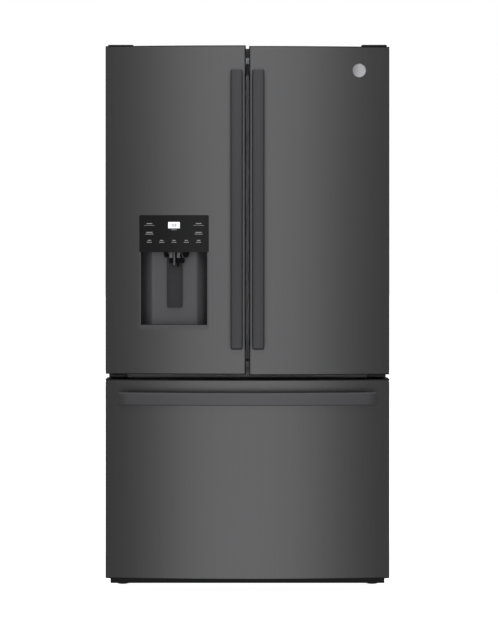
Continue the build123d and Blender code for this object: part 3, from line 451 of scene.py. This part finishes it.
# Polished and backed with black: the eye gets a deep black that is darker than the steel round it.
panel_gloss = finish_of(
    "gloss_black_polycarbonate", "#19191a", "#1b1b1c", 0.16, 0.01, (30, 30, 30), 0.0,
    Specular_IOR_Level=0.06,
)
dress(["control_panel"], panel_gloss)
panel_proud = 0.0015
panel_t = 0.004
panel_r = 0.006
panel_rows, panel_columns = 30, 44


def window_grid():
    """Points of the window's face. A row runs across the arc between the two sides, each moved in by
    r - sqrt(r^2 - h^2) where the row is h above the centres of the rounded top corners."""
    turn = np.linspace(0, 1.57, 8)  # radians, up to a quarter turn
    z = np.linspace(panel_low.z, panel_high.z, panel_rows)[:-1]
    z = np.sort(np.concatenate([z, panel_high.z - panel_r * (1 - np.sin(turn))]))
    above = np.clip(z - (panel_high.z - panel_r), 0, panel_r)
    cut = (panel_r - np.sqrt(panel_r**2 - above**2))[:, None]
    share = np.linspace(0, 1, panel_columns)
    x = (panel_low.x + cut) * (1 - share) + (panel_high.x - cut) * share
    return np.stack([x, front_y(x, -panel_proud), np.broadcast_to(z[:, None], x.shape)], 2)


window = window_grid()
window_faces = grid_faces(len(window), panel_columns).tolist()
made = add_mesh("panel_window", window, window_faces, panel_gloss, "left_door")
wall = made.modifiers.new("window", "SOLIDIFY")
wall.thickness = panel_t
wall.offset = -1
soften = made.modifiers.new("edge", "BEVEL")
soften.width = 0.0008
soften.segments = 3
soften.limit_method = "ANGLE"
soften.angle_limit = math.radians(50)
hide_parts("control_panel")


def mark(x, z, width, height, corner=0.0008, lift=0.0):
    """A printed bar on the window: an outline 0.6 mm behind its face lofted to one 0.15 mm before it,
    both on the arc."""
    flat = outline((x, z), (width / 2, height / 2), corner, 4)
    face = front_y(flat[:, 0], -panel_proud) - lift
    return loft([np.stack([flat[:, 0], face + dy, flat[:, 1]], 1) for dy in (0.0006, -0.00015)])


panel_x = (panel_low.x + panel_high.x) / 2
key_pitch = 0.0393
low_row, middle_row, high_row = (panel_low.z + h for h in (0.034, 0.061, 0.091))
marks = []
for column in (-2, -1, 0, 1, 2):
    x = panel_x + column * key_pitch
    marks += [mark(x, low_row + 0.0035, 0.011, 0.0022), mark(x, low_row - 0.0025, 0.016, 0.0018)]
for column in (-2, 2):
    x = panel_x + column * key_pitch
    marks += [mark(x, high_row, 0.018, 0.0024), mark(x, high_row - 0.006, 0.034, 0.0008, 0.0003)]
    marks += [mark(x, middle_row + 0.002, 0.020, 0.0022), mark(x, middle_row - 0.0035, 0.026, 0.0016)]
marks.append(mark(panel_x, panel_low.z + 0.0715, 0.018, 0.0016))
# screen-printed ink: flat grey, just bright enough to find the keys
print_grey = finish_of("printed_grey", "#85868a", "#8d8e90", 0.5, 0.03, (2, 2, 2), 0.0)
points, faces = joined(marks)
add_mesh("key_marks", points, faces, print_grey, "left_door")

# a back-lit diffuser: the brightest spot of the front, white without a hot centre
lit = finish_of(
    "lit_display", "#dfe2e4", "#e6e9ea", 0.5, 0.02, (6, 6, 6), 0.0,
    Emission_Color=tone("#d9dcdd"), Emission_Strength=0.42,
)
display_z = panel_low.z + 0.086
display_w, display_h = 0.037, 0.020
points, faces = mark(panel_x, display_z, display_w, display_h, 0.001)
add_mesh("display_field", points, faces, lit, "left_door")
# three plain strokes stand in for the display's symbols, only a little darker than the field
dark_print = finish_of("printed_dark", "#9a9d9f", "#a0a3a5", 0.5, 0.03, (2, 2, 2), 0.0)
strokes = [mark(panel_x + dx, display_z, 0.0035, 0.011, 0.0012, 0.0002) for dx in (-0.006, 0.0, 0.006)]
points, faces = joined(strokes)
add_mesh("display_digits", points, faces, dark_print, "left_door")

# ------------------------------------------------------------------ hinges, rail, mullion and slides
# Pressed steel brackets screwed to the case, the rail between the compartments, the mullion that folds
# on the left door, and the drawer's telescopic slides.

# dip coat: near black and satin, with a slight orange peel
dip_coat = finish_of("dip_coated_steel", "#2c2c2e", "#353537", 0.42, 0.06, (3, 3, 3), 0.01, metal=0.4)
dress(["door_hinges"], dip_coat)
# baked paint, even mid grey and paler than the rail's own paint: painted light that lifts the shaded
# slit over the drawer, so it doesn't read as a hole
rail_grey_painted_light = finish_of("grey_steel_painted_light", "#aeafb1", "#b6b7b9", 0.42, 0.03, (2, 2, 2), 0.006)
dress(["centre_rail"], rail_grey_painted_light)
# the same paint in a paler grey, which is painted light: the mullion sits in the shaded gap between the
# doors, and the paler grey stands in for light there so that it shows as a light line
mullion_grey_painted_light = finish_of("pale_steel_painted_light", "#cdced0", "#d4d5d7", 0.42, 0.03, (2, 2, 2), 0.006)
dress(["mullion"], mullion_grey_painted_light)
# zinc plate: bright, cold and slightly cloudy over a centimetre or so
zinc = finish_of("zinc_plated_steel", "#9a9da0", "#b2b4b6", 0.38, 0.08, (12, 12, 12), 0.004, metal=0.9)
dress(["drawer_rails", "slide_members", "drawer_frame"], zinc)

# ------------------------------------------------------------------ case, back and base
# The wrapper is folded steel sheet. The back, the cover of the machine compartment and the base are
# galvanised sheet, held with flush rivets.

# textured powder paint of about 1.5 mm grain: dull charcoal with a fine, even speckle
case_paint = finish_of("textured_case_paint", "#343436", "#3d3d40", 0.55, 0.06, (1.6, 1.6, 1.6), 0.05)
dress(["cabinet_shell"], case_paint)
# hot-dip zinc: grey flakes about 18 mm wide that differ a little in shade and gloss
galvanised = finish_of(
    "galvanised_sheet", "#8b8e91", "#a9acae", 0.45, 0.1, (18, 18, 18), 0.003, metal=0.8
)
dress(["rear_panel", "rear_cover", "base_frame"], galvanised)

back_low, back_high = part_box("rear_panel")
cover_low, cover_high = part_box("rear_cover")
from_side = 0.012  # from a sheet's edge to its row of rivets
across = np.linspace(-0.3, 0.3, 4)
rivets = []
for x in (back_low.x + from_side, back_high.x - from_side):
    rivets += [(x, z) for z in np.linspace(back_low.z + 0.03, back_high.z - 0.03, 9)]
rivets += [(x, back_high.z - from_side) for x in across]
for x in (cover_low.x + from_side, cover_high.x - from_side):
    rivets += [(x, z) for z in (cover_low.z + 0.04, 0.2, cover_high.z - 0.02)]
rivets += [(x, cover_high.z - 0.01) for x in across]
head_steps = ((0.0, 0.0055), (0.00015, 0.0054), (0.0003, 0.0048))  # height and radius of a rivet's head
turn = np.linspace(0, 2 * math.pi, 19)[:-1]
parts = []
for x, z in rivets:
    rings = []
    for out, r in head_steps:
        y = np.full(len(turn), back_high.y + out)
        rings.append(np.stack([x - r * np.cos(turn), y, z + r * np.sin(turn)], 1))
    parts.append(loft(rings))
points, faces = joined(parts)
add_mesh("rear_rivets", points, faces, zinc, "cabinet")

# ------------------------------------------------------------------ machine compartment and foam
# A compressor on its base, coils with pressed aluminium fins, the water valve and the mains gland, and
# the foam that fills the case's walls.

# stoved enamel: black and glossy, with a gentle waviness
enamel = finish_of("black_enamel", "#0f0f10", "#151516", 0.22, 0.03, (20, 20, 20), 0.02)
dress(["compressor"], enamel)
# rolled aluminium: pale and bright, which makes the gaps between the fins read as dark lines
fin_stock = finish_of("aluminium_fins", "#a6a8aa", "#bcbec0", 0.4, 0.06, (5, 5, 5), 0.004, metal=0.9)
dress(["condenser", "evaporator"], fin_stock)
# undyed nylon: warm off-white with a waxy sheen
natural_nylon = finish_of("natural_nylon", "#cfcdc4", "#d9d7cf", 0.45, 0.05, (2, 2, 2), 0.01)
dress(["service_fittings"], natural_nylon)
# blown foam of 2.5 mm cells: dull yellow and rough
pu_foam = finish_of("polyurethane_foam", "#cdbb88", "#dbcb9d", 0.85, 0.05, (2.5, 2.5, 2.5), 0.3)
dress(["cabinet_foam"], pu_foam)

# ------------------------------------------------------------------ liners and inner pieces
# Liners of vacuum-formed polystyrene sheet, and shelf frames, baskets, fan and ice maker of moulded
# ABS. A flat lamp is let into the ceiling.

# Formed over a mould while hot: the eye gets a clean white with a soft gloss and a faint ripple.
liner_white = finish_of("white_polystyrene", "#dfe2e3", "#e6e9ea", 0.32, 0.03, (14, 14, 14), 0.03)
dress(["fresh_food_liner", "freezer_liner", "left_door_liner", "right_door_liner"], liner_white)
dress(["drawer_liner", "ice_compartment", "ice_box_door", "air_tower", "evaporator_cover"], liner_white)
# lightly textured ABS: a cool mid grey that sets the inner pieces off from the liner
inner_grey = finish_of("grey_abs_inner", "#9b9ea1", "#a6a9ac", 0.45, 0.04, (1.2, 1.2, 1.2), 0.01)
dress(["shelf_frames", "ice_maker", "evaporator_fan", "lower_basket", "upper_basket"], inner_grey)

# opal acrylic over a row of lamps: an even, cool white
lens = finish_of(
    "lamp_lens", "#f2f5f5", "#f7fafa", 0.5, 0.02, (3, 3, 3), 0.01,
    Emission_Color=tone("#f4f8ff"), Emission_Strength=0.6,
)
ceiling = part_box("fresh_food_liner")[1].z - 0.020
lamp_at, lamp_half = (0.0, 0.23), (0.14, 0.045)
lamp_levels = (ceiling - 0.006, ceiling - 0.0003)
points, faces = block(lamp_at, lamp_half, lamp_levels, "z", 0.02, 0.003, 8)
add_mesh("ceiling_lamp", points, faces, lens, "cabinet")

# ------------------------------------------------------------------ door gaskets
# Extruded vinyl: a soft bellows round a flexible magnet, welded at the corners and pushed into a groove
# in each door.

# soft vinyl: a dull mid grey that shows as a dark frame round each liner
vinyl = finish_of("grey_vinyl", "#57585a", "#606163", 0.55, 0.04, (1.5, 1.5, 1.5), 0.01)
lip_w = 0.015
gasket_r = 0.012
share = np.linspace(0, 1, 13)
wave = 0.0016 * np.sin(2 * math.pi * share) ** 2  # two folds between the door and the case
bellows = [*zip(wave, share), *zip(lip_w - wave[::-1], share[::-1])]
for node, body in (
    ("left_door_gasket", "left_door"),
    ("right_door_gasket", "right_door"),
    ("drawer_gasket", "freezer_drawer"),
):
    low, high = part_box(node)
    centre = ((low.x + high.x) / 2, (low.z + high.z) / 2)
    half = ((high.x - low.x) / 2, (high.z - low.z) / 2)
    rings = []
    for inset, along in bellows:
        flat = outline(centre, (half[0] - inset, half[1] - inset), max(gasket_r - inset, 0.002), 5)
        rings.append(stand(flat, (high.y - low.y) * along - high.y, "front"))
    points, faces = loft(rings, closed=True)
    made = add_mesh(node.replace("gasket", "seal"), points, faces, vinyl, body)
    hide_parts(node)

# ------------------------------------------------------------------ glass shelves, bins and drawers
# Toughened glass in grey frames, and injection-moulded clear polystyrene with rounded corners, drafted
# walls and a rolled rim. The bins hang on the door liners; crispers and deli drawer slide on runners.

# polished moulded polystyrene: clear and faintly blue, with bright lines along rims and corners
clear = finish_of(
    "clear_polystyrene", "#e9f1f3", "#eef5f6", 0.08, 0.01, (25, 25, 25), 0.0,
    Transmission_Weight=0.92, IOR=1.57,
)
dress(["left_door_bins", "right_door_bins", "ice_bin"], clear)
dress(["left_crisper", "right_crisper", "deli_drawer"], clear)
# float glass: flat and clear, green towards its edges
toughened = finish_of(
    "toughened_glass", "#d3e4de", "#d9e8e3", 0.03, 0.005, (60, 60, 60), 0.0,
    Transmission_Weight=0.95, IOR=1.52,
)
dress(["shelf_glass"], toughened)


def open_tray(x, y, z, wall=0.003, corner=0.016, draft=0.003, rim=0.0015):
    """An open tray: outlines that climb the outside, turn over the rolled rim and go down inside. Each
    step is how far its outline lies inside x by y, and its height between z[0] and z[1]."""
    centre = ((x[0] + x[1]) / 2, (y[0] + y[1]) / 2)
    half = np.array([(x[1] - x[0]) / 2, (y[1] - y[0]) / 2])
    steps = [
        (draft + 0.010, z[0]), (draft + 0.004, z[0] + 0.0006), (draft + 0.0008, z[0] + 0.004),
        (draft, z[0] + 0.010), (rim, z[1] - 0.006), (rim, z[1] - 0.005), (0.0002, z[1] - 0.004),
        (0, z[1] - 0.002), (0.0006, z[1] - 0.0006), (0.0016, z[1]), (wall, z[1] - 0.0004),
        (wall + rim, z[1] - 0.002), (wall + rim, z[1] - 0.008), (wall + draft, z[0] + 0.012),
        (wall + draft + 0.0008, z[0] + 0.0065), (wall + draft + 0.004, z[0] + 0.0034),
        (wall + draft + 0.010, z[0] + 0.003),
    ]
    rings = []
    for inset, level in steps:
        flat = outline(centre, half - inset, max(corner - inset * 0.6, 0.004), 7)
        rings.append(stand(flat, level, "z"))
    return loft(rings)


# bottom, top and inner side (y) of each bin, lowest first; the two low ones are shallower
shallow, deep = -0.2365, -0.166
bin_levels = [(0.770, 0.870, shallow), (0.940, 1.040, shallow), (1.130, 1.240, deep)]
high_levels = [(1.330, 1.440, deep), (1.530, 1.640, deep)]
for side, levels in (("left", bin_levels), ("right", bin_levels + high_levels)):
    low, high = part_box(f"{side}_door_bins")
    bins = [open_tray((low.x, high.x), (low.y, inner), (z0, z1)) for z0, z1, inner in levels]
    points, faces = joined(bins)
    made = add_mesh(f"{side}_bins", points, faces, clear, f"{side}_door")
    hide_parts(f"{side}_door_bins")

grip_out = 0.008  # a grip bar stands this far before its drawer's front
grip_sink = 0.0015  # and reaches this far into it
grip_half_h = 0.006
runner_w = 0.0086  # the deli drawer hangs on a runner at each side
runner_in, runner_half = 0.0055, (0.0053, 0.0022)
for name, beside, grip_half, grip_drop in (
    ("left_crisper", 0.0, 0.07, 0.034),
    ("right_crisper", 0.0, 0.07, 0.034),
    ("deli_drawer", runner_w, 0.09, 0.024),
):
    low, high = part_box(name)
    span = (low.x + beside, high.x - beside)
    parts = [open_tray(span, (low.y + grip_out, high.y), (low.z, high.z), corner=0.02)]
    grip_at = ((low.x + high.x) / 2, high.z - grip_drop)
    depth = (-low.y - grip_out - grip_sink, -low.y)
    parts.append(block(grip_at, (grip_half, grip_half_h), depth, "front", 0.004, 0.002))
    for x in (low.x + runner_in, high.x - runner_in) if beside else ():
        depth = (-high.y, -low.y - grip_out)
        parts.append(block((x, high.z - 0.0024), runner_half, depth, "front", 0.001, 0.0005))
    points, faces = joined(parts)
    made = add_mesh(f"{name}_tray", points, faces, clear, name)
    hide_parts(name)

# ------------------------------------------------------------------ studio, camera and light
# A pale floor, tall soft boxes facing the fronts, two behind and one overhead. The surroundings are
# dimmer ahead than at the sides, so the fronts mirror the soft boxes and little else.
scene = bpy.context.scene
scene.view_settings.view_transform = "Standard"
far = 30.0
mesh = bpy.data.meshes.new("floor")
mesh.from_pydata([(-far, -far, 0), (far, -far, 0), (far, far, 0), (-far, far, 0)], [], [(0, 1, 2, 3)])
floor = bpy.data.objects.new("floor", mesh)
scene.collection.objects.link(floor)
# matt white backdrop paper, lit evenly from below so that it stays near white to its far edge
floor_white = finish_of(
    "pale_floor", "#f0f0f0", "#f4f4f4", 0.9, 0.02, (900, 900, 900), 0.0,
    Emission_Color=tone("#ffffff"), Emission_Strength=0.92,
)
mesh.materials.append(floor_white)
floor.visible_glossy = False

world = bpy.data.worlds.new("studio")
scene.world = world
world.use_nodes = True
sky = world.node_tree
sky.nodes.clear()
way = put(sky, "ShaderNodeTexCoord").outputs["Generated"]
ahead = put(sky, "ShaderNodeSeparateXYZ", {"Vector": way}).outputs["Y"]
facing = put(sky, "ShaderNodeMath", {0: ahead}, operation="ABSOLUTE").outputs[0]
dimming = {"Value": facing, "From Min": 0.85, "From Max": 1.0, "To Min": 0.42, "To Max": 0.1}
soft = put(sky, "ShaderNodeMapRange", dimming).outputs[0]
dim = put(sky, "ShaderNodeBackground", {"Color": (1, 1, 1, 1), "Strength": soft}).outputs[0]
white = put(sky, "ShaderNodeBackground", {"Color": (1, 1, 1, 1), "Strength": 1.0}).outputs[0]
seen = put(sky, "ShaderNodeLightPath").outputs["Is Camera Ray"]
mixed = put(sky, "ShaderNodeMixShader", {0: seen, 1: dim, 2: white}).outputs[0]
put(sky, "ShaderNodeOutputWorld", {"Surface": mixed})


def soft_box(name, place, aim, size, radiance):
    """A rectangular light turned to a point. Its energy is radiance times pi times its area."""
    light = bpy.data.lights.new(name, "AREA")
    light.shape = "RECTANGLE"
    light.size, light.size_y = size
    light.energy = radiance * math.pi * size[0] * size[1]
    made = bpy.data.objects.new(name, light)
    made.location = place
    line = np.subtract(aim, place)
    yaw = math.atan2(-line[0], line[1])
    pitch = math.atan2(line[2], math.hypot(line[0], line[1])) + math.pi / 2
    made.rotation_euler = (pitch, 0, yaw)
    scene.collection.objects.link(made)


ahead_of = (0, -0.4, 1.2)
for side in (-1, 1):
    soft_box(f"strip_{side + 2}", (side * 0.95, -8.0, 1.2), ahead_of, (1.1, 14.0), 2.15)
    soft_box(f"rear_{side + 2}", (side * 2.4, 6.0, 2.2), (0, 0.4, 0.9), (2.0, 3.0), 1.1)
soft_box("middle", (0, -8.1, 1.2), ahead_of, (0.76, 14.0), 1.4)
soft_box("overhead", (0, -1.0, 4.6), (0, -0.99, 0), (5.0, 5.0), 1.4)

camera_data = bpy.data.cameras.new("camera")
camera_data.lens = 98.4
camera_data.sensor_width = 36.0
camera_data.shift_x = 0.0024
camera_data.shift_y = -0.127
camera = bpy.data.objects.new("camera", camera_data)
camera.location = (0, face_front - 5.6, 1.13)
camera.rotation_euler = (math.pi / 2, 0, 0)
scene.collection.objects.link(camera)
scene.camera = camera
